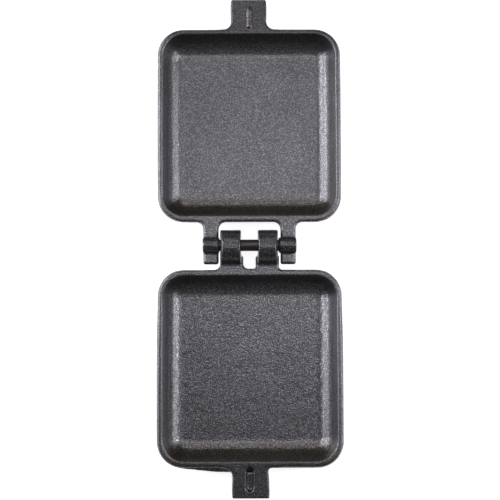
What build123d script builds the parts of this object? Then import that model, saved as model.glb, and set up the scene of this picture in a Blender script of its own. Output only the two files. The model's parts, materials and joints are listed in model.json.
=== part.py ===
from build123d import *
import math
import os

# Head of a square pie iron: two cast-iron half pans that fold face to face on a hinge.
# Lengths are in millimetres. The iron lies open on its two backs: +Z is up, +Y runs from
# the hook half to the pin half, and the origin is under the middle of the whole length.

# Hinge line, along X
PIN_Y = 0.4
PIN_DIAMETER = 7.0
PIN_END = 27.9  # half of the pin's length
RIM_Z = 19.0  # height of both rims above the backs
PIN_Z = RIM_Z + 0.15  # so that the closed rims stay 0.3 mm apart

# Cavity for a slice of bread, alike in both halves; lengths count outwards from the hinge line
CAVITY_HALF_WIDTH = 52.35
CAVITY_NEAR = 18.0
CAVITY_FAR = 128.6
CAVITY_DEPTH = 15.0
CAVITY_CORNER = 13.4
CAVITY_FLOOR_FILLET = 10.0
CAVITY_DRAFT = 17.0  # degrees from vertical

# Outside of each casting
DRAFT = 7.0  # degrees from vertical, on every outer wall
OUTER_CORNER = 15.8
BACK_FILLET = 9.0
MOUTH_EDGE = 0.4  # rounding of the rim's inner edge
SHOULDER = 1.1  # how far the rim's flat stands back from the mould's parting line
SHOULDER_DROP = 1.6  # how far that line lies below the flat

PIN_HALF_NEAR = 14.1
PIN_HALF_FAR = 131.1
PIN_HALF_WIDTHS = (54.7, 55.15, 54.9)  # half widths near the hinge, in the middle and at the far end

HOOK_HALF_NEAR = 14.65
HOOK_HALF_FAR = 131.6
HOOK_HALF_WIDTHS = (54.5, 55.7, 55.3)

# Socket for a handle rod, under a flat tab at the far end of each half
PIN_TAB_HALVES = (10.4, 10.8, 10.45)  # half widths at the pan, where it is widest and at the end
HOOK_TAB_HALVES = (10.6, 11.1, 10.75)
TAB_SHOULDER = 0.5  # as SHOULDER, on both tabs
TAB_WIDE_FROM_END = 5.0
TAB_DEPTH = 15.5
TAB_BELLY_ROUND = 5.0
TAB_END_EDGE = 1.3
TAB_FILLET = 4.9
HOOK_TAB_FILLET_LEFT = 4.8
HOOK_TAB_FILLET_RIGHT = 2.0
PIN_TAB_END = 149.6
HOOK_TAB_END = 150.4
ROD_HOLE_DIAMETER = 6.8  # tapping size of an M8 thread
ROD_HOLE_LENGTH = 17.0
ROD_HOLE_DROP = 8.0  # axis below the rim plane
ROD_HOLE_CHAMFER = 0.8

# Key that lines up the closed halves: a rib on one tab drops into a slot in the other
KEY_X = -0.25
RIB_PROFILE = ((-2.1, 0.0), (-0.1, 1.5), (0.9, 1.5), (1.2, 0.0))  # offset from KEY_X and height
RIB_NEAR, RIB_FAR = 131.6, 143.3
SLOT_WIDTH = 3.9
SLOT_NEAR, SLOT_FAR = 131.2, 145.0
SLOT_DEPTH = 2.3
PIT_LENGTH = 2.4  # deeper end of the slot, next to the pan
PIT_DEPTH = 4.0

# Lugs of the pin half, with a boss round the pin
LUG_INNER, LUG_OUTER = 18.5, 27.9
LUG_PAST_PIN = 11.4
LUG_DEPTH = 7.5
LUG_OUTER_FILLET = 4.0
LUG_INNER_FILLET = 4.5
LUG_END_ROUND = 1.3
BOSS_DIAMETER = 9.2
LEFT_BOSS = (-28.1, -18.0)
RIGHT_BOSS = (17.35, 28.1)
BOSS_EDGE = 0.5

# Knuckles of the hook half, open underneath so that they hook over the pin
LEFT_KNUCKLE = (4.95, 17.7)  # inner and outer flank, from the middle
RIGHT_KNUCKLE = (4.8, 17.05)
KNUCKLE_TIP = 9.3  # beyond the pin's axis
KNUCKLE_ROOT = 11.2  # on the pan's side of it
KNUCKLE_RISE = 9.6
KNUCKLE_EDGE = 0.7
KNUCKLE_LEG = 5.0  # reach of the hook's nose below the pin's axis
KNUCKLE_INNER_DRAFT = 4.0  # degrees, above the pin's axis
KNUCKLE_OUTER_DRAFT = 7.0
HOOK_SLOT_HALF = 3.85
ROOT_INNER_LEFT, ROOT_INNER_RIGHT = 3.75, 3.5
ROOT_OUTER = 17.7
ROOT_FRONT = 6.4
ROOT_DEPTH = 9.0
ROOT_FILLET_LEFT = 3.9
ROOT_FILLET_RIGHT = 2.0
ROOT_WEB = 13.8  # where the gap between the two roots ends
GAP_CORNER_LEFT = 2.9
GAP_CORNER_RIGHT = 1.1
NOSE_ROUND = 1.2

# Stub of the casting's gate, left along the far edge of the hook half, below its rim
GATE_CORNER = (-42.0, 0.1)  # x, and how far it stands out past the rim's edge
GATE_MIDDLE = (-21.0, 2.2)
GATE_TAB = (-9.0, 2.6)
GATE_DROP = 1.3
GATE_DEPTH = 4.5

OVERLAP = 12.0  # how far tabs and lugs reach into the body before the cavity is cut


def bowed_outline(near, far, widths, corner):
    """Plan of a half pan's outside: a rounded oblong whose long sides bow out a little."""
    near_half, middle_half, far_half = widths
    middle = (near + far) / 2
    with BuildSketch() as plan:
        with BuildLine():
            Polyline((-near_half, near), (near_half, near))
            ThreePointArc((near_half, near), (middle_half, middle), (far_half, far))
            Polyline((far_half, far), (-far_half, far))
            ThreePointArc((-far_half, far), (-middle_half, middle), (-near_half, near))
        make_face()
        fillet(plan.vertices(), corner)
    return plan.sketch


def lowered(plan, depth, draft, top=RIM_Z):
    """A plan drawn at a height, carried down with its sides drafted inwards."""
    return extrude(Pos(0, 0, top) * plan, amount=depth, dir=(0, 0, -1), taper=draft)


def cast_block(plan, depth, shoulder=SHOULDER):
    """A block below the rim plane, widest at the parting line, where its plan is drawn."""
    parting = RIM_Z - SHOULDER_DROP
    lean = math.degrees(math.atan(shoulder / SHOULDER_DROP))
    above = extrude(Pos(0, 0, parting) * plan, amount=SHOULDER_DROP, dir=(0, 0, 1), taper=lean)
    return above + lowered(plan, depth - SHOULDER_DROP, DRAFT, top=parting)


def pan_body(near, far, widths):
    body = cast_block(bowed_outline(near, far, widths, OUTER_CORNER), RIM_Z)
    back_edges = body.edges().group_by(Axis.Z)[0]
    return fillet(back_edges, BACK_FILLET)


def cavity():
    length = CAVITY_FAR - CAVITY_NEAR
    middle = (CAVITY_FAR + CAVITY_NEAR) / 2
    plan = Pos(0, middle) * RectangleRounded(2 * CAVITY_HALF_WIDTH, length, CAVITY_CORNER)
    hollow = lowered(plan, CAVITY_DEPTH, CAVITY_DRAFT)
    floor_edges = hollow.edges().group_by(Axis.Z)[0]
    return fillet(floor_edges, CAVITY_FLOOR_FILLET)


def soften_mouth(casting):
    """Rounds the inner edge of the rim, all the way round the cavity's mouth."""
    reach = CAVITY_HALF_WIDTH + 0.1
    mouth = casting.edges().filter_by(
        lambda e: abs(e.bounding_box().min.Z - RIM_Z) < 0.001
        and abs(e.bounding_box().max.Z - RIM_Z) < 0.001
        and e.bounding_box().max.X < reach and e.bounding_box().min.X > -reach
        and e.bounding_box().min.Y > CAVITY_NEAR - 0.1 and e.bounding_box().max.Y < CAVITY_FAR + 0.1
    )
    return fillet(mouth, MOUTH_EDGE)


def socket_block(far, end, halves, left_fillet, right_fillet):
    """The flat tab, the socket under it and the fillets that join them to the pan."""
    root_half, wide_half, end_half = halves
    inside = far - OVERLAP
    wide_at = end - TAB_WIDE_FROM_END
    beyond = end + TAB_WIDE_FROM_END  # cut back to a square end face below
    beyond_half = 2 * end_half - wide_half
    strip = root_half + max(left_fillet, right_fillet) + 3.0
    with BuildSketch() as plan:
        with BuildLine():
            Polyline(
                (-strip, inside), (strip, inside), (strip, far), (root_half, far),
                (wide_half, wide_at), (beyond_half, beyond),
                (-beyond_half, beyond), (-wide_half, wide_at),
                (-root_half, far), (-strip, far), close=True,
            )
        make_face()
        roots = plan.vertices().filter_by(
            lambda v: abs(v.Y - far) < 0.01 and abs(v.X) < root_half + 0.01
        ).sort_by(Axis.X)
        fillet(roots[0], left_fillet)
        roots = plan.vertices().filter_by(
            lambda v: abs(v.Y - far) < 0.01 and abs(v.X - root_half) < 0.01
        )
        fillet(roots, right_fillet)
    block = cast_block(plan.sketch, TAB_DEPTH, TAB_SHOULDER)
    keep = Pos(0, end / 2, RIM_Z / 2) * Box(100, end, 4 * RIM_Z)
    block = block & keep
    belly = block.edges().group_by(Axis.Z)[0]
    belly = belly.filter_by(lambda e: e.center().Y > far + 1 and abs(e.center().X) > 5)
    block = fillet(belly, TAB_BELLY_ROUND)
    end_face = block.faces().sort_by(Axis.Y)[-1]
    return fillet(end_face.edges(), TAB_END_EDGE)


def rod_hole(end):
    """Blind hole for the threaded end of a handle rod, with a chamfered mouth."""
    radius = ROD_HOLE_DIAMETER / 2
    height = RIM_Z - ROD_HOLE_DROP
    mouth = Plane(origin=(0, end, height), z_dir=(0, -1, 0))
    hole = mouth * Pos(0, 0, ROD_HOLE_LENGTH / 2) * Cylinder(radius, ROD_HOLE_LENGTH)
    flare = mouth * Pos(0, 0, ROD_HOLE_CHAMFER / 2) * Cone(
        radius + ROD_HOLE_CHAMFER, radius, ROD_HOLE_CHAMFER
    )
    return hole + flare


def lug():
    """The right arm in the rim plane that reaches past the pin, with fillets where it leaves the rim."""
    inside = PIN_HALF_NEAR + OVERLAP
    with BuildSketch() as plan:
        with BuildLine():
            Polyline(
                (LUG_INNER, -LUG_PAST_PIN), (LUG_OUTER, -LUG_PAST_PIN), (LUG_OUTER, PIN_HALF_NEAR),
                (35, PIN_HALF_NEAR), (35, inside), (12, inside), (12, PIN_HALF_NEAR),
                (LUG_INNER, PIN_HALF_NEAR), close=True,
            )
        make_face()
        fillet(plan.vertices().filter_by(lambda v: abs(v.Y + LUG_PAST_PIN) < 0.01), LUG_END_ROUND)
        roots = plan.vertices().filter_by(lambda v: abs(v.Y - PIN_HALF_NEAR) < 0.01)
        fillet(roots.filter_by(lambda v: abs(v.X - LUG_OUTER) < 0.01), LUG_OUTER_FILLET)
        roots = plan.vertices().filter_by(lambda v: abs(v.X - LUG_INNER) < 0.01)
        fillet(roots.filter_by(lambda v: v.Y > PIN_HALF_NEAR - 0.01), LUG_INNER_FILLET)
    return cast_block(plan.sketch, LUG_DEPTH)


def along_x(radius, start, stop):
    """A cylinder on the hinge line between two x positions."""
    middle = (start + stop) / 2
    return Pos(middle, 0, PIN_Z) * Rot(0, 90, 0) * Cylinder(radius, stop - start)


def pin_boss(start, stop):
    boss = along_x(BOSS_DIAMETER / 2, start, stop)
    return fillet(boss.edges().filter_by(GeomType.CIRCLE), BOSS_EDGE)


def knuckle(inner, outer):
    """The right hook: an arch over the pin whose nose points down, drafted on both sides."""
    z = PIN_Z
    back = HOOK_HALF_NEAR + 4.0
    root_bottom = RIM_Z - ROOT_DEPTH
    nose_bottom = z - KNUCKLE_LEG
    apex_y = (KNUCKLE_ROOT - KNUCKLE_TIP) / 2
    slot = HOOK_SLOT_HALF
    with BuildSketch(Plane.YZ) as profile:
        with BuildLine():
            ThreePointArc((-KNUCKLE_TIP, z), (apex_y, z + KNUCKLE_RISE), (KNUCKLE_ROOT, RIM_Z))
            Polyline(
                (KNUCKLE_ROOT, RIM_Z), (back, RIM_Z), (back, root_bottom),
                (ROOT_FRONT + 1.0, root_bottom), (slot, nose_bottom), (slot, z),
            )
            ThreePointArc((slot, z), (0, z + slot), (-slot, z))
            Polyline(
                (-slot, z), (-slot, nose_bottom), (-KNUCKLE_TIP + 0.8, nose_bottom), (-KNUCKLE_TIP, z)
            )
        make_face()
        noses = profile.vertices().filter_by(
            lambda v: abs(v.Y - nose_bottom) < 0.01 and v.X < 0
        )
        fillet(noses, NOSE_ROUND)
    hook = extrude(profile.sketch, amount=outer + 2)
    top = KNUCKLE_RISE + 1.0
    inner_lean = top * math.tan(math.radians(KNUCKLE_INNER_DRAFT))
    outer_lean = top * math.tan(math.radians(KNUCKLE_OUTER_DRAFT))
    with BuildSketch(Plane.XZ) as section:
        with BuildLine():
            Polyline(
                (inner, 0), (outer, 0), (outer, z), (outer - outer_lean, z + top),
                (inner + inner_lean, z + top), (inner, z), close=True,
            )
        make_face()
    flanks = extrude(section.sketch, amount=40, both=True)
    hook = hook & flanks
    arch_edges = hook.edges().filter_by(
        lambda e: e.geom_type == GeomType.ELLIPSE and e.bounding_box().max.Z > z + slot + 2
    )
    return fillet(arch_edges, KNUCKLE_EDGE)


def knuckle_roots():
    """The plate in the rim plane that carries both hooks, with the gap between them."""
    inside = HOOK_HALF_NEAR + OVERLAP
    with BuildSketch() as plan:
        with BuildLine():
            Polyline(
                (-ROOT_OUTER, ROOT_FRONT), (-ROOT_INNER_LEFT, ROOT_FRONT), (-ROOT_INNER_LEFT, ROOT_WEB),
                (ROOT_INNER_RIGHT, ROOT_WEB), (ROOT_INNER_RIGHT, ROOT_FRONT), (ROOT_OUTER, ROOT_FRONT),
                (ROOT_OUTER, HOOK_HALF_NEAR), (30, HOOK_HALF_NEAR), (30, inside),
                (-30, inside), (-30, HOOK_HALF_NEAR), (-ROOT_OUTER, HOOK_HALF_NEAR), close=True,
            )
        make_face()
        web = plan.vertices().filter_by(lambda v: abs(v.Y - ROOT_WEB) < 0.01)
        fillet(web.filter_by(lambda v: v.X < 0), GAP_CORNER_LEFT)
        web = plan.vertices().filter_by(lambda v: abs(v.Y - ROOT_WEB) < 0.01)
        fillet(web.filter_by(lambda v: abs(v.X - ROOT_INNER_RIGHT) < 0.01), GAP_CORNER_RIGHT)
        outer = plan.vertices().filter_by(lambda v: abs(v.Y - HOOK_HALF_NEAR) < 0.01)
        outer = outer.filter_by(lambda v: abs(abs(v.X) - ROOT_OUTER) < 0.01).sort_by(Axis.X)
        fillet(outer[0], ROOT_FILLET_LEFT)
        outer = plan.vertices().filter_by(
            lambda v: abs(v.Y - HOOK_HALF_NEAR) < 0.01 and abs(v.X - ROOT_OUTER) < 0.01
        )
        fillet(outer, ROOT_FILLET_RIGHT)
    return cast_block(plan.sketch, ROOT_DEPTH)


def gate_stub():
    """What is left of the gate that fed the casting: a low ledge under the rim."""
    far = HOOK_HALF_FAR
    with BuildSketch() as plan:
        with BuildLine():
            Polyline(
                (GATE_CORNER[0], far + GATE_CORNER[1]), (GATE_MIDDLE[0], far + GATE_MIDDLE[1]),
                (GATE_TAB[0], far + GATE_TAB[1]), (GATE_TAB[0], far - OVERLAP),
                (GATE_CORNER[0], far - OVERLAP), close=True,
            )
        make_face()
    return lowered(plan.sketch, GATE_DEPTH, DRAFT, top=RIM_Z - GATE_DROP)


def key_rib():
    """The key's ridge along Y, with a gentle left flank and a steep right one."""
    with BuildSketch(Plane(origin=(KEY_X, RIB_NEAR, RIM_Z), z_dir=(0, -1, 0))) as section:
        with BuildLine():
            Polyline(*RIB_PROFILE, close=True)
        make_face()
    return extrude(section.sketch, amount=RIB_NEAR - RIB_FAR)


def key_slot():
    """The round-ended groove for the rib, with a pit at the end next to the pan."""
    length = SLOT_FAR - SLOT_NEAR
    middle = (SLOT_NEAR + SLOT_FAR) / 2
    plan = Rot(0, 0, 90) * SlotOverall(length, SLOT_WIDTH)
    groove = extrude(Pos(KEY_X, middle, RIM_Z) * plan, amount=SLOT_DEPTH, dir=(0, 0, -1))
    reach = Pos(KEY_X, SLOT_NEAR + PIT_LENGTH / 2, RIM_Z) * Box(SLOT_WIDTH, PIT_LENGTH, 2 * PIT_DEPTH)
    pit = extrude(Pos(KEY_X, middle, RIM_Z) * plan, amount=PIT_DEPTH, dir=(0, 0, -1)) & reach
    return groove + pit


def pin_half():
    casting = pan_body(PIN_HALF_NEAR, PIN_HALF_FAR, PIN_HALF_WIDTHS)
    casting += socket_block(PIN_HALF_FAR, PIN_TAB_END, PIN_TAB_HALVES, TAB_FILLET, TAB_FILLET)
    arm = lug()
    casting += arm
    casting += mirror(arm, about=Plane.YZ)
    casting += pin_boss(*LEFT_BOSS)
    casting += pin_boss(*RIGHT_BOSS)
    casting = soften_mouth(casting - cavity())
    casting -= rod_hole(PIN_TAB_END)
    casting -= along_x(PIN_DIAMETER / 2, -PIN_END, PIN_END)
    casting += key_rib()
    return Pos(0, PIN_Y) * casting


def hook_half():
    casting = pan_body(HOOK_HALF_NEAR, HOOK_HALF_FAR, HOOK_HALF_WIDTHS)
    casting += socket_block(
        HOOK_HALF_FAR, HOOK_TAB_END, HOOK_TAB_HALVES, HOOK_TAB_FILLET_LEFT, HOOK_TAB_FILLET_RIGHT
    )
    casting += knuckle_roots()
    casting += mirror(knuckle(*LEFT_KNUCKLE), about=Plane.YZ)
    casting += knuckle(*RIGHT_KNUCKLE)
    casting += gate_stub()
    casting = soften_mouth(casting - cavity())
    casting -= rod_hole(HOOK_TAB_END)
    casting -= key_slot()
    return Pos(0, PIN_Y) * mirror(casting, about=Plane.XZ)


def hinge_pin():
    pin = along_x(PIN_DIAMETER / 2, -PIN_END, PIN_END)
    pin = chamfer(pin.edges().filter_by(GeomType.CIRCLE), 0.5)
    return Pos(0, PIN_Y) * pin


os.makedirs("parts", exist_ok=True)
for name, make in (("pin_half", pin_half), ("hook_half", hook_half), ("hinge_pin", hinge_pin)):
    shape = make()
    box = shape.bounding_box()
    print(name, len(shape.solids()), round(shape.volume), shape.is_valid, box)
    export_step(shape, f"parts/{name}.step")
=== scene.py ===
# %% [markdown]
# # A cast-iron pie iron head
#
# A pie iron toasts a sandwich over a fire between two square pans of cast iron. This scene dresses
# the head of one: two castings that fold face to face on a steel pin. The hard facts, such as sizes,
# the hinge and the sockets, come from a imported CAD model, which is loaded as a fixed frame. Blender
# adds what a mould, its sand and years of oil leave on the iron.

# %% Load the frame
import json
import math

import bpy
import numpy as np
from mathutils import Matrix, Vector, noise


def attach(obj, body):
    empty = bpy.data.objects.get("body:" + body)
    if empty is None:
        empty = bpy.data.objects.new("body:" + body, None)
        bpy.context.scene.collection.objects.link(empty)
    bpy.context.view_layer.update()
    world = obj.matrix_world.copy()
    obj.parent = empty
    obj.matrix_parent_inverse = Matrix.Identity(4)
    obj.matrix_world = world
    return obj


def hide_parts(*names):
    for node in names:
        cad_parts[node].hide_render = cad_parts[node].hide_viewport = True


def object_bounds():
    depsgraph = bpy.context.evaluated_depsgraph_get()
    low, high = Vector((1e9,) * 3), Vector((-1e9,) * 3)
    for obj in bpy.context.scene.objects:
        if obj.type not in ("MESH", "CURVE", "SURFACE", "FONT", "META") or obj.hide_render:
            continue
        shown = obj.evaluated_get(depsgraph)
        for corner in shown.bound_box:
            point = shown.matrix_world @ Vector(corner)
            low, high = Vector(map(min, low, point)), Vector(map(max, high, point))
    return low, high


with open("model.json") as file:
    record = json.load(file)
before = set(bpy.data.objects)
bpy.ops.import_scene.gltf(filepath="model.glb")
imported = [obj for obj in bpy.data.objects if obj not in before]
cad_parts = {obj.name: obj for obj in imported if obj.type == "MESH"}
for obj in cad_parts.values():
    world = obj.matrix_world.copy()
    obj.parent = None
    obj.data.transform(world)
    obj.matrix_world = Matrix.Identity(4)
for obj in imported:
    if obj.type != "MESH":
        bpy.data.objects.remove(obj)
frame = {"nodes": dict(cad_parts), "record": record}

cad_lo, cad_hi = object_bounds()
print("CAD box in mm", [round(1000 * (b - a), 1) for a, b in zip(cad_lo, cad_hi)])

# %% [markdown]
# ## Units, colours and nodes
#
# Blender works in metres, while a foundry thinks in millimetres, so one constant turns one into the
# other. Colours are written as sRGB hex, as in any paint program, and Cycles wants them linear, so
# one function turns them. A second adds a shader node with its settings and links in one go, and
# settings that come back often have names. Long chains of nodes then read like recipes.

# %% Helpers
MM = 0.001
WHITE = "#ffffff"
TIMES = {"operation": "MULTIPLY"}
TIMES_THEN_ADD = {"operation": "MULTIPLY_ADD"}
MINUS = {"operation": "SUBTRACT"}
LARGER = {"operation": "MAXIMUM"}
WITHOUT_SIGN = {"operation": "ABSOLUTE"}
SMOOTH_STEP = {"interpolation_type": "SMOOTHSTEP"}
BLEND = {"data_type": "RGBA"}
TINT = {"data_type": "RGBA", "blend_type": "MULTIPLY"}
BLENDED = 2  # the output of a Mix node that holds its colour


def linear(hex_colour):
    """An sRGB hex colour such as "#262422" as the linear RGBA that shaders work in."""
    steps = [int(hex_colour[i:i + 2], 16) / 255 for i in (1, 3, 5)]
    rgb = [s / 12.92 if s <= 0.04045 else ((s + 0.055) / 1.055) ** 2.4 for s in steps]
    return (*rgb, 1.0)


def node(tree, kind, settings=None, **inputs):
    """Adds a node. Each input, by its name or as _ and its number, is a value, socket or node."""
    made = tree.nodes.new(kind)
    for name, value in (settings or {}).items():
        setattr(made, name, value)
    for name, value in inputs.items():
        socket = made.inputs[int(name[1:]) if name[0] == "_" else name.replace("_", " ")]
        if isinstance(value, bpy.types.Node):
            value = value.outputs[0]
        if isinstance(value, bpy.types.NodeSocket):
            tree.links.new(value, socket)
        else:
            socket.default_value = value
    return made


def new_material(name):
    """A material without nodes; returns it with its node tree."""
    material = bpy.data.materials.new(name)
    material.use_nodes = True
    material.node_tree.nodes.clear()
    return material, material.node_tree


def placed(name, data):
    """A new object in the scene that holds a mesh, a camera or a lamp."""
    made = bpy.data.objects.new(name, data)
    bpy.context.scene.collection.objects.link(made)
    return made


print("white as linear", linear(WHITE))

# %% [markdown]
# ## Camera
#
# The iron lies open on its back and is seen from almost straight above, tipped 3.9 degrees towards
# the hook half, from 0.8 m above the rims. A long lens keeps the two pans nearly alike in size. The
# iron turns a hair in the frame, so the camera rolls by a fraction of a degree. A camera could also
# be aimed by a constraint, but three named values say exactly how this one stands.

# %% Camera
CAMERA_TILT = math.radians(3.9)
CAMERA_ROLL = math.radians(-0.2)
CAMERA_DISTANCE = 800 * MM
SENSOR, LENS = 36.0, 96.0048  # mm
AIM = Vector((0.25 * MM, -2.39 * MM, 19.0 * MM))  # in the middle of the frame, level with the rims

camera_data = bpy.data.cameras.new("camera")
camera_data.sensor_width = SENSOR
camera_data.lens = LENS
camera = placed("camera", camera_data)
back_off = Vector((0.0, -math.sin(CAMERA_TILT), math.cos(CAMERA_TILT)))
camera.matrix_world = (
    Matrix.Translation(AIM + CAMERA_DISTANCE * back_off)
    @ Matrix.Rotation(CAMERA_TILT, 4, "X")
    @ Matrix.Rotation(CAMERA_ROLL, 4, "Z")
)
bpy.context.scene.camera = camera
bpy.context.scene.view_settings.view_transform = "Standard"
print("lens", LENS, "mm, camera at", [round(v, 4) for v in camera.matrix_world.translation])

# %% [markdown]
# ## Floor
#
# The iron lies on a sheet of matt white paper. The sheet has two jobs: it throws soft light back up
# at the castings' sides, and it looks plain white, with the iron's own shadow on it. More lamp light
# would wash out the iron, so the paper is a light grey to the object, and adds a glow of its own
# only for rays from the camera and for mirror rays. The lamps are weaker further out, so there the
# glow grows to full white and no edge shows from any side.

# %% Floor
FLOOR_HALF = 1.5  # metres
FLOOR_SINK = 0.1 * MM  # so that the backs and the paper never share a plane
PAPER_GREY = "#e6e6e6"
GLOW_NEAR, GLOW_FAR = 0.8, 1.0  # 1 is white; near the iron the lamps add the rest
GLOW_FROM, GLOW_TO = 0.3, 0.8  # metres from the middle

floor_mesh = bpy.data.meshes.new("floor")
corners = [(FLOOR_HALF * x, FLOOR_HALF * y, 0) for x, y in ((-1, -1), (1, -1), (1, 1), (-1, 1))]
floor_mesh.from_pydata(corners, [], [(0, 1, 2, 3)])
floor = placed("floor", floor_mesh)
floor.location.z = -FLOOR_SINK

paper, tree = new_material("matt_white_paper")
rays = node(tree, "ShaderNodeLightPath").outputs
seen = node(tree, "ShaderNodeMath", LARGER, _0=rays["Is Camera Ray"], _1=rays["Is Glossy Ray"])
place = node(tree, "ShaderNodeTexCoord").outputs["Object"]
reach = node(tree, "ShaderNodeVectorMath", {"operation": "LENGTH"}, _0=place).outputs["Value"]
brightness = node(tree, "ShaderNodeMapRange", Value=reach, From_Min=GLOW_FROM, From_Max=GLOW_TO,
                  To_Min=GLOW_NEAR, To_Max=GLOW_FAR)
matt = node(tree, "ShaderNodeBsdfDiffuse", Color=linear(PAPER_GREY))
glow = node(tree, "ShaderNodeEmission", Color=linear(WHITE), Strength=brightness)
glowing = node(tree, "ShaderNodeAddShader", _0=matt, _1=glow)
surface = node(tree, "ShaderNodeMixShader", Fac=seen, _1=matt, _2=glowing)
node(tree, "ShaderNodeOutputMaterial", Surface=surface)
floor_mesh.materials.append(paper)
print("floor", 2 * FLOOR_HALF, "m wide, glow from", GLOW_NEAR, "to", GLOW_FAR)

# %% [markdown]
# ## Soft boxes
#
# Oiled cast iron is dark and half glossy, so what shows its shape is mostly the mirror image of the
# lamps. The bright bands beside each cavity floor are the side boxes, seen in the rounded foot of
# the wall. Each box is a rectangular lamp about a metre away, because a bare bulb would leave one
# hard spot in a fillet. The boxes stand in arcs beside the iron and over its length, and every
# wider gap between them would draw a dark stripe. Which places are used, and how strongly, was not
# set by hand: a least-squares fit outside this script chose them from renders with one box lit at a
# time, so that each wall gets its own tone. Some values were then changed.

# %% Soft boxes
LAMP_COLOUR = (0.905, 0.9, 1.0)  # linear: a cool studio white
SIDE_BOX = (0.4, 0.2)  # metres, along the iron and across
TOP_BOX = (0.25, 0.35)
END_BOX = (0.25, 1.2)
TOP_HEIGHT = 1.0  # metres
LEFT, RIGHT = -1, 1
BEYOND_HOOK_HALF, BESIDE_HINGE, BEYOND_PIN_HALF = -0.35, 0.05, 0.45  # metres along Y
SIDE_BOXES = (  # side, degrees above the floor, place along Y, watts
    (LEFT, 14, BESIDE_HINGE, 1.87),
    (LEFT, 14, BEYOND_PIN_HALF, 2.4),
    (LEFT, 38, BESIDE_HINGE, 1.24),
    (LEFT, 50, BESIDE_HINGE, 1.16),
    (LEFT, 50, BEYOND_PIN_HALF, 2.3),
    (RIGHT, 14, BEYOND_PIN_HALF, 0.62),
    (RIGHT, 26, BEYOND_HOOK_HALF, 0.8),
    (RIGHT, 26, BESIDE_HINGE, 1.29),
    (RIGHT, 50, BESIDE_HINGE, 2.1),
    (RIGHT, 74, BESIDE_HINGE, 0.34),
)
TOP_BOXES = (  # metres along Y, watts
    (0.1, 0.57), (0.3, 0.13), (0.5, 0.11), (0.75, 0.33), (1.1, 0.6),
)
END_BOXES = ((25, 0.09), (55, 0.21))  # degrees above the floor beyond the hook half, watts


def softbox(name, stand, size, watts):
    """A rectangular lamp that faces the middle from a point; its first side lies along Y."""
    data = bpy.data.lights.new(name, "AREA")
    data.shape = "RECTANGLE"
    data.size, data.size_y = size
    data.energy = watts
    data.color = LAMP_COLOUR
    back = Vector(stand).normalized()
    along = (Vector((0, 1, 0)) - back * back.y).normalized()
    turn = Matrix((along, back.cross(along), back)).transposed().to_4x4()
    placed(name, data).matrix_world = Matrix.Translation(stand) @ turn


for number, (side, degrees, along, watts) in enumerate(SIDE_BOXES):
    rise = math.radians(degrees)
    stand = (side * math.cos(rise), along, math.sin(rise))
    softbox(f"side_box_{number}", stand, SIDE_BOX, watts)
for number, (along, watts) in enumerate(TOP_BOXES):
    softbox(f"top_box_{number}", (0.0, along, TOP_HEIGHT), TOP_BOX, watts)
for number, (degrees, watts) in enumerate(END_BOXES):
    rise = math.radians(degrees)
    softbox(f"end_box_{number}", (0.0, -math.cos(rise), math.sin(rise)), END_BOX, watts)
powers = [data.energy for data in bpy.data.lights]
print(len(powers), "soft boxes with", round(sum(powers), 2), "watts in all")

# %% [markdown]
# ## Room
#
# Around the table is a dim room with a white strip low on the horizon, where the edge of a white
# backdrop would be. The outer walls of the castings mirror that strip, which lifts them off the
# shadow below. A picture of a real studio could do the same, but a step over the height of a ray is
# enough. The camera itself always sees white.

# %% Room
STRIP_TOP, STRIP_FADED = 0.03, 0.05  # sine of the angle above the horizon
ROOM_LIGHT = 0.02  # 1 is white

world = bpy.data.worlds.new("studio")
bpy.context.scene.world = world
world.use_nodes = True
world.node_tree.nodes.clear()
tree = world.node_tree
direction = node(tree, "ShaderNodeTexCoord").outputs["Generated"]
height = node(tree, "ShaderNodeSeparateXYZ", Vector=direction).outputs["Z"]
strip = node(tree, "ShaderNodeMapRange", Value=height, From_Min=STRIP_TOP, From_Max=STRIP_FADED,
             To_Min=1.0, To_Max=ROOM_LIGHT)
camera_ray = node(tree, "ShaderNodeLightPath").outputs["Is Camera Ray"]
brightness = node(tree, "ShaderNodeMath", LARGER, _0=strip, _1=camera_ray)
background = node(tree, "ShaderNodeBackground", Color=linear(WHITE), Strength=brightness)
node(tree, "ShaderNodeOutputWorld", Surface=background)
print("the white strip fades out", round(math.degrees(STRIP_FADED), 1), "degrees above the horizon")

# %% [markdown]
# ## The castings: an even skin
#
# Each half is one sand casting. Its pattern was pressed in sand, so every edge came out a little
# round, and the iron took the unevenness of the mould. The CAD solid is sharper than that, and its
# mesh has long thin triangles that can't bend. Modelling the castings again by hand would lose the
# exact sizes. So a copy of the CAD mesh is cut into even cells of 0.7 mm by a voxel remesh and laid
# back on the CAD surface. That gives every stretch of surface the vertices that it needs.

# %% Even skin
CELL = 0.7 * MM


def even_skin(source):
    """A new mesh in even cells that lie on the surface of a CAD node."""
    copy = placed("copy", source.data.copy())
    copy.matrix_world = source.matrix_world
    remesh = copy.modifiers.new("cells", "REMESH")
    remesh.mode = "VOXEL"
    remesh.voxel_size = CELL
    snap = copy.modifiers.new("snap", "SHRINKWRAP")
    snap.wrap_method = "NEAREST_SURFACEPOINT"
    snap.target = source
    bpy.context.view_layer.update()
    evaluated = copy.evaluated_get(bpy.context.evaluated_depsgraph_get())
    mesh = bpy.data.meshes.new_from_object(evaluated)
    mesh.transform(copy.matrix_world)
    bpy.data.objects.remove(copy)
    return mesh


def vertex_rows(vertices, kind):
    """What each vertex holds under a name, such as its place under "co", with one row each."""
    flat = np.empty(3 * len(vertices))
    vertices.foreach_get(kind, flat)
    return flat.reshape(-1, 3)


skins = {half: even_skin(frame["nodes"][half]) for half in ("pin_half", "hook_half")}
for half, mesh in skins.items():
    print(half, len(mesh.vertices), "vertices in cells of", round(CELL / MM, 2), "mm")

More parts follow.
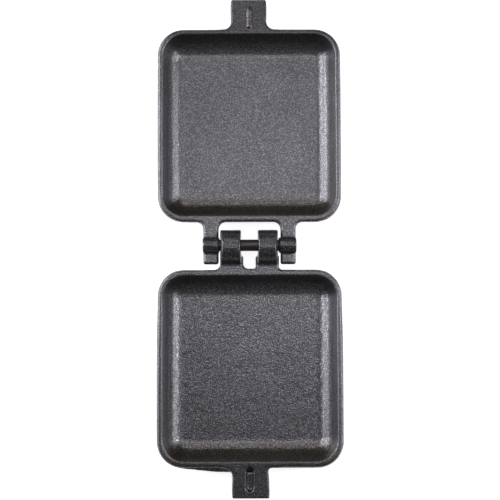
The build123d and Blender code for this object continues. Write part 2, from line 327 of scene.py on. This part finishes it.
# %% [markdown]
# ## Where the mouth of the cavity is
#
# What happens to a point of the skin depends on how far it lies inside or outside the mouth of the
# cavity: its edge stays crisp, because the two rims have to meet, while the walls outside are left
# as the sand made them. The mouth is a rectangle with round corners, so the distance to it has a
# short formula: straight distances beside it, and a circle's distance at each corner.

# %% Mouth of the cavity
HINGE_Y = frame["record"]["behaviour"]["joints"][0]["pos_m"][1]
MOUTH_NEAR, MOUTH_FAR = 18.0 * MM, 128.6 * MM  # from the hinge line
MOUTH_HALF_WIDTH = 52.35 * MM
MOUTH_CORNER = 13.4 * MM
MOUTH = {  # lowest and highest Y
    "pin_half": (HINGE_Y + MOUTH_NEAR, HINGE_Y + MOUTH_FAR),
    "hook_half": (HINGE_Y - MOUTH_FAR, HINGE_Y - MOUTH_NEAR),
}


def inside_mouth(points, half):
    """How far each point lies inside the round-cornered edge of the cavity's mouth, in metres."""
    low, high = MOUTH[half]
    across = np.abs(points[:, 0]) - MOUTH_HALF_WIDTH + MOUTH_CORNER
    along = np.abs(points[:, 1] - (low + high) / 2) - (high - low) / 2 + MOUTH_CORNER
    round_part = np.hypot(np.maximum(across, 0.0), np.maximum(along, 0.0))
    return MOUTH_CORNER - round_part - np.minimum(np.maximum(across, along), 0.0)


def step(values, start, full):
    """0 up to start, 1 from full on, and a straight rise between them."""
    return np.clip((values - start) / (full - start), 0.0, 1.0)


for half, (low, high) in MOUTH.items():
    print(half, "mouth from", round(low / MM, 1), "to", round(high / MM, 1), "mm along Y")

# %% [markdown]
# ## Worn edges
#
# Shaking out, grinding and years of use round off the outer edges of a casting by some tenths of a
# millimetre. A bevel would give all of them one radius. Moving each vertex a little towards the
# middle of its neighbours, a few times, wears sharp edges and leaves flat stretches alone, as a
# grindstone does. Each vertex has a weight: full on the outside, small at the crisp mouth and at
# the hinge, where the fit counts.

# %% Worn edges
WEAR_STEPS = 3
WEAR_START, WEAR_FULL = 0.3 * MM, 1.2 * MM  # outside the mouth
LEAST_WEAR = 0.15
HINGE_REACH = 13 * MM  # along Y, both ways


def wear_weights(points, inside):
    """How much of the wear each point takes, from 0 to 1."""
    off_hinge = np.abs(points[:, 1]) > HINGE_REACH
    return LEAST_WEAR + (1.0 - LEAST_WEAR) * step(-inside, WEAR_START, WEAR_FULL) * off_hinge


def worn(mesh, points, weights):
    """Moves each vertex halfway to its neighbours' middle, as far as its weight lets it."""
    pairs = np.empty(2 * len(mesh.edges), dtype=np.int64)
    mesh.edges.foreach_get("vertices", pairs)
    a, b = pairs.reshape(-1, 2).T
    size = len(points)
    count = np.bincount(a, minlength=size) + np.bincount(b, minlength=size)
    for _ in range(WEAR_STEPS):
        middle = np.empty_like(points)
        for axis in range(3):
            column = points[:, axis]
            total = np.bincount(a, column[b], size) + np.bincount(b, column[a], size)
            middle[:, axis] = total / count
        points = points + 0.5 * weights[:, None] * (middle - points)
    return points


print("outer edges wear fully from", round(WEAR_FULL / MM, 1), "mm outside the mouth")

# %% [markdown]
# ## Walls that the sand let swell
#
# Molten iron is heavy and pushes the soft sand outwards, so a casting comes out a bit larger than
# its pattern, and not evenly. Here the outer walls and the sides of the tabs stand up to 1.1 mm
# further out than in the CAD. The move starts just outside the mouth and is held back at the hinge,
# so that the cavity and the fit of the hinge stay true. Scaling a whole casting would move them too.

# %% Swollen walls
SWELL_START, SWELL_FULL = 0.2 * MM, 1.4 * MM  # outside the mouth
HINGE_FADE = 3 * MM
SWELLING = {  # beside the cavity, at its lower Y and at its higher Y
    "pin_half": (0.45 * MM, 0.15 * MM, 0.75 * MM),
    "hook_half": (0.3 * MM, 1.1 * MM, 0.4 * MM),
}
TAB_SWELLING = {"pin_half": (0.4 * MM, 0.1 * MM), "hook_half": (0.0, 0.4 * MM)}  # left and right
TAB_START, TAB_FULL = 132 * MM, 137 * MM  # along Y, both ways
TAB_STILL, TAB_SIDE = 5 * MM, 8 * MM  # across: the key stays where it is, the sides move


def swollen(points, half, inside):
    """Pushes the outer walls and the tab's sides outwards, away from the cavity, which stays."""
    low, high = MOUTH[half]
    beside, swell_low, swell_high = SWELLING[half]
    left, right = TAB_SWELLING[half]
    across, reach = points[:, 0], np.abs(points[:, 1])
    outside = step(-inside, SWELL_START, SWELL_FULL)
    outside *= step(reach, HINGE_REACH, HINGE_REACH + HINGE_FADE)
    along = (points[:, 1] - low) / (high - low)
    sideways = np.interp(across, (-TAB_SIDE, -TAB_STILL, TAB_STILL, TAB_SIDE),
                         (-left, 0.0, 0.0, right))
    moved = points.copy()
    moved[:, 0] += outside * beside * across / MOUTH_HALF_WIDTH
    moved[:, 0] += step(reach, TAB_START, TAB_FULL) * sideways
    moved[:, 1] += outside * (along * (swell_low + swell_high) - swell_low)
    return moved


print("walls swell by up to", round(max(max(s) for s in SWELLING.values()) / MM, 2), "mm")

# %% [markdown]
# ## Sand waves and a blowhole
#
# Sand packs unevenly, so a cast face is never quite flat: it rolls over some 14 mm and is pitted
# over 2 to 3 mm, by a tenth of a millimetre or less. Noise of those lengths moves the skin along its
# normals. Bump alone could do it, but then outlines would stay ruler-straight. At the foot of the
# key rib, a gas bubble left a small blowhole, which is a soft dent in the top of the tab.

# %% Sand waves and blowhole
WAVES = {  # length of a wave and its height from trough to crest, in mm
    "pin_half": ((14.0, 0.10), (3.4, 0.055), (1.9, 0.040)),
    "hook_half": ((14.0, 0.10), (3.4, 0.090), (1.9, 0.075)),
}
BLOWHOLES = {"pin_half": [(-0.35 * MM, 132.0 * MM)], "hook_half": []}
BLOWHOLE_RADIUS, BLOWHOLE_DEPTH = 0.8 * MM, 1.2 * MM
TAB_TOP = 18 * MM  # what lies above is the top of a tab


def wave(point, half):
    """How far the sand pushed the surface in or out at a point, in metres."""
    return sum(height * MM * noise.noise(Vector(point) / (length * MM)) / 2
               for length, height in WAVES[half])


def dented(points, half):
    """Sinks the half's blowholes into the top of its tab."""
    for x, y in BLOWHOLES[half]:
        away = np.hypot(points[:, 0] - x, points[:, 1] - y) / BLOWHOLE_RADIUS
        points[:, 2] -= BLOWHOLE_DEPTH * np.exp(-away ** 2) * (points[:, 2] > TAB_TOP)
    return points


for half, waves in WAVES.items():
    print(half, "waves up to", max(height for _, height in waves), "mm high")

# %% [markdown]
# ## The two castings
#
# Each skin now goes through the same steps as the real casting: ground, swollen by the mould, and
# with the marks of its sand. It rides on its own half of the hinge and stands for the CAD solid,
# which is hidden. Nothing may stick out of the CAD box, so the points are held within it.

# %% Castings


def casting(half):
    """The visible casting of one half, made from its even skin."""
    mesh = skins[half]
    points = vertex_rows(mesh.vertices, "co")
    inside = inside_mouth(points, half)
    points = swollen(worn(mesh, points, wear_weights(points, inside)), half, inside)
    mesh.vertices.foreach_set("co", points.ravel())
    mesh.update()
    normals = vertex_rows(mesh.vertex_normals, "vector")
    depths = np.array([wave(point, half) for point in points])
    points = np.clip(points + depths[:, None] * normals, cad_lo, cad_hi)
    mesh.vertices.foreach_set("co", dented(points, half).ravel())
    mesh.shade_smooth()
    skin = placed(half + "_casting", mesh)
    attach(skin, half)
    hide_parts(half)
    print(skin.name, len(mesh.vertices), "vertices", len(mesh.polygons), "faces")
    return skin


castings = [casting("pin_half"), casting("hook_half")]

# %% [markdown]
# ## Seasoned cast iron: where the oil is, and painted shade
#
# Grey cast iron comes out of the sand rough and is seasoned: oil is baked on until it turns black
# and half glossy. The coat isn't the same everywhere: it lies thin on the cavity floors. The lower
# end wall of each cavity gets a brown, slightly darker tint, which is painted shade, and the tabs
# and the tops of the hooks are painted darker, as shade. Painted masks would need an image, so these
# masks are smooth steps over the place itself, which stay clean at any size.

# %% Where the oil is, and where shade is painted
CAVITY_FULL, CAVITY_EDGE = 48 * MM, 51 * MM  # across, from the middle
FLOOR_LEVEL, FLOOR_CLEAR = 2 * MM, 3.8 * MM  # heights: the backs lie below, the cavity above
HARSH_FULL, HARSH_END = 14 * MM, 18 * MM  # along Y: the hook half's cavity lies below both
END_WALL_SHADES = (23.5 * MM, -124 * MM)  # middles along Y of the painted shade at each cavity's lower end wall
END_WALL_SHADE_REACH = 9 * MM
TAB_SHADE_START, TAB_SHADE_FULL = 125 * MM, 130 * MM  # along Y, both ways, for the tabs' painted shade
HOOK_SHADE_START, HOOK_SHADE_FULL = 19.2 * MM, 20.5 * MM  # heights above the backs, for the hooks' painted shade
HOOK_SHADE = 0.8  # share of the tabs' painted shade

iron, tree = new_material("seasoned_cast_iron")
place = node(tree, "ShaderNodeTexCoord").outputs["Object"]
at = node(tree, "ShaderNodeSeparateXYZ", Vector=place).outputs
from_middle = node(tree, "ShaderNodeMath", WITHOUT_SIGN, _0=at["X"])
from_hinge = node(tree, "ShaderNodeMath", WITHOUT_SIGN, _0=at["Y"])
between_walls = node(tree, "ShaderNodeMapRange", SMOOTH_STEP, Value=from_middle,
                     From_Min=CAVITY_FULL, From_Max=CAVITY_EDGE, To_Min=1.0, To_Max=0.0)
above_backs = node(tree, "ShaderNodeMapRange", SMOOTH_STEP, Value=at["Z"],
                   From_Min=FLOOR_LEVEL, From_Max=FLOOR_CLEAR)
in_cavity = node(tree, "ShaderNodeMath", TIMES, _0=between_walls, _1=above_backs)
on_hook_half = node(tree, "ShaderNodeMapRange", SMOOTH_STEP, Value=at["Y"],
                    From_Min=HARSH_FULL, From_Max=HARSH_END, To_Min=1.0, To_Max=0.0)
harsh = node(tree, "ShaderNodeMath", TIMES, _0=in_cavity, _1=on_hook_half)
# Painted shade: a brown, slightly darker tint at the lower end wall of each cavity.
end_shade_masks = []
for middle in END_WALL_SHADES:
    offset = node(tree, "ShaderNodeMath", MINUS, _0=at["Y"], _1=middle)
    away = node(tree, "ShaderNodeMath", WITHOUT_SIGN, _0=offset)
    end_shade_masks.append(node(tree, "ShaderNodeMapRange", SMOOTH_STEP, Value=away, From_Min=0.0,
                      From_Max=END_WALL_SHADE_REACH, To_Min=1.0, To_Max=0.0))
at_ends = node(tree, "ShaderNodeMath", {"operation": "ADD"}, _0=end_shade_masks[0], _1=end_shade_masks[1])
painted_end_wall_shade = node(tree, "ShaderNodeMath", TIMES, _0=at_ends, _1=in_cavity)
# Painted shade: the tabs and the tops of the hooks are darkened.
on_tabs = node(tree, "ShaderNodeMapRange", SMOOTH_STEP, Value=from_hinge,
               From_Min=TAB_SHADE_START, From_Max=TAB_SHADE_FULL)
on_hooks = node(tree, "ShaderNodeMapRange", SMOOTH_STEP, Value=at["Z"],
                From_Min=HOOK_SHADE_START, From_Max=HOOK_SHADE_FULL, To_Max=HOOK_SHADE)
painted_shade_on_tabs_and_hooks = node(tree, "ShaderNodeMath", LARGER, _0=on_tabs, _1=on_hooks)
print(len(tree.nodes), "nodes say where the oil is")

# %% [markdown]
# ## Seasoned cast iron: grit, oil and painted edge highlights
#
# The sand of the mould leaves a grain of 0.2 to 0.3 mm. From here a pixel covers 0.6 mm, so the
# grain is drawn at 0.7 mm, where it just shows. Its crests are rubbed to paler bare iron while the
# pits stay dark with oil, so the same noise drives colour and bump. Slow patches of 18 mm are where
# the coat baked on unevenly. Sharp edges, which the pointiness of a Geometry node finds, are made
# the palest: partly rubbed bare, partly a painted highlight. The hook half's cavity has the
# harsher grain, as if from coarser sand.

# %% Grit and oil
GRIT = 0.7 * MM  # coarser than the real 0.2 to 0.3 mm, so that it shows
PATCH = 18 * MM
PIT, CREST = 0.3, 0.85  # values of the noise at the bottom and at the top of the grain
CREST_POWER = 1.6  # above 1, more of the surface stays oily
USUAL_BARE = 0.3  # share of bare iron that stays as it is while the contrast grows
HARSHER = 0.45  # contrast that the hook half's cavity has beyond the rest
PATCH_CONTRAST = 0.25
EDGE_START, EDGE_FULL = 0.58, 0.75  # pointiness
EDGE_WEAR_AND_HIGHLIGHT = 0.6  # share of a sharp edge's crests made paler: rubbed bare, and a painted highlight
# The pale colour serves the rubbed crests and the painted edge highlight.
OILED_IRON, BARE_IRON_AND_EDGE_HIGHLIGHT = "#636160", "#a9aaab"
END_WALL_SHADE_TINT, TAB_AND_HOOK_SHADE_TINT = "#fff5e0", "#d2d0ce"  # painted shade: a brown, slightly darker tint for the lower end walls, and a darker one for the tabs and hooks

grit = node(tree, "ShaderNodeTexNoise", Vector=place, Scale=1 / GRIT, Detail=0.0)
patches = node(tree, "ShaderNodeTexNoise", Vector=place, Scale=1 / PATCH, Detail=2.0)
crest = node(tree, "ShaderNodeMapRange", Value=grit, From_Min=PIT, From_Max=CREST)
rubbed_crest = node(tree, "ShaderNodeMath", {"operation": "POWER"}, _0=crest, _1=CREST_POWER)
contrast = node(tree, "ShaderNodeMath", TIMES_THEN_ADD, _0=harsh, _1=HARSHER, _2=1.0)
off_usual = node(tree, "ShaderNodeMath", MINUS, _0=rubbed_crest, _1=USUAL_BARE)
grain = node(tree, "ShaderNodeMath", TIMES_THEN_ADD, _0=off_usual, _1=contrast, _2=USUAL_BARE)
off_patch = node(tree, "ShaderNodeMath", MINUS, _0=patches, _1=0.5)
patchy = node(tree, "ShaderNodeMath", TIMES_THEN_ADD, _0=off_patch, _1=PATCH_CONTRAST, _2=grain)
pointiness = node(tree, "ShaderNodeNewGeometry").outputs["Pointiness"]
# Sharp edges are made paler: partly real wear, partly a painted highlight.
edge = node(tree, "ShaderNodeMapRange", SMOOTH_STEP, Value=pointiness,
            From_Min=EDGE_START, From_Max=EDGE_FULL, To_Max=EDGE_WEAR_AND_HIGHLIGHT)
worn_and_highlit_edge = node(tree, "ShaderNodeMath", TIMES, _0=edge, _1=crest)
bare_iron_and_edge_highlight = node(tree, "ShaderNodeMath", {"operation": "ADD", "use_clamp": True},
            _0=patchy, _1=worn_and_highlit_edge)
colour = node(tree, "ShaderNodeMix", BLEND, Factor=bare_iron_and_edge_highlight, _6=linear(OILED_IRON),
              _7=linear(BARE_IRON_AND_EDGE_HIGHLIGHT)).outputs[BLENDED]
# Painted shade: the lower end walls get a brown tint, and the tabs and hook tops a darker one.
for share, tint in ((painted_end_wall_shade, END_WALL_SHADE_TINT), (painted_shade_on_tabs_and_hooks, TAB_AND_HOOK_SHADE_TINT)):
    colour = node(tree, "ShaderNodeMix", TINT, Factor=share, _6=colour,
                  _7=linear(tint)).outputs[BLENDED]
print("grit", round(GRIT / MM, 2), "mm in patches of", round(PATCH / MM), "mm")

# %% [markdown]
# ## Seasoned cast iron: the finish
#
# Iron is a metal, so its colour is the colour of its mirror image. The baked oil takes a little of
# that away, which is why it is not quite fully metallic. A roughness of 0.3 blurs the soft boxes
# into bands, and the bump of the grit breaks them up into sparkle. The metal keeps the default IOR.

# %% Finish of the iron
IRON_METALLIC, IRON_ROUGHNESS = 0.9, 0.3
GRIT_HEIGHT = 0.12 * MM

bump = node(tree, "ShaderNodeBump", Strength=1.0, Distance=GRIT_HEIGHT, Height=grit)
metal = node(tree, "ShaderNodeBsdfPrincipled", Base_Color=colour, Metallic=IRON_METALLIC,
             Roughness=IRON_ROUGHNESS, Normal=bump)
node(tree, "ShaderNodeOutputMaterial", Surface=metal)
for skin in castings:
    skin.data.materials.clear()
    skin.data.materials.append(iron)
print(iron.name, "has", len(tree.nodes), "nodes and covers", [skin.name for skin in castings])

# %% [markdown]
# ## Oil-blackened steel
#
# The hinge pin is a piece of cold-drawn steel rod, cut to length and pressed in. Drawing through a
# die leaves fine scratches along the rod, and the oil that seasons the iron turns it brown-black
# too. Its CAD shape is already right, so it only gets a material: one noise, stretched 11 times
# along the rod, for colour, gloss and a slight bump. Real scratches are some hundredths of a
# millimetre wide and are drawn at 0.8 mm, so that they show at all.

# %% Steel
SCRATCH_LENGTH, SCRATCH_WIDTH = 9 * MM, 0.8 * MM
SCRATCH_DEPTH = 0.03 * MM
BLACKENED_STEEL, BRIGHT_STEEL = "#423d39", "#7c7672"
STEEL_SMOOTH, STEEL_ROUGH = 0.3, 0.5  # roughness

steel, tree = new_material("oil_blackened_steel")
place = node(tree, "ShaderNodeTexCoord").outputs["Object"]
squeeze = (1 / SCRATCH_LENGTH, 1 / SCRATCH_WIDTH, 1 / SCRATCH_WIDTH)
squeezed = node(tree, "ShaderNodeMapping", Vector=place, Scale=squeeze)
scratches = node(tree, "ShaderNodeTexNoise", Vector=squeezed, Scale=1.0, Detail=2.0)
tone = node(tree, "ShaderNodeMix", BLEND, Factor=scratches, _6=linear(BLACKENED_STEEL),
            _7=linear(BRIGHT_STEEL)).outputs[BLENDED]
gloss = node(tree, "ShaderNodeMapRange", Value=scratches, To_Min=STEEL_SMOOTH, To_Max=STEEL_ROUGH)
bump = node(tree, "ShaderNodeBump", Strength=1.0, Distance=SCRATCH_DEPTH, Height=scratches)
metal = node(tree, "ShaderNodeBsdfPrincipled", Base_Color=tone, Metallic=1.0, Roughness=gloss,
             Normal=bump)
node(tree, "ShaderNodeOutputMaterial", Surface=metal)
pin = frame["nodes"]["hinge_pin"]
pin.data.materials.clear()
pin.data.materials.append(steel)
print(steel.name, "covers", pin.name)
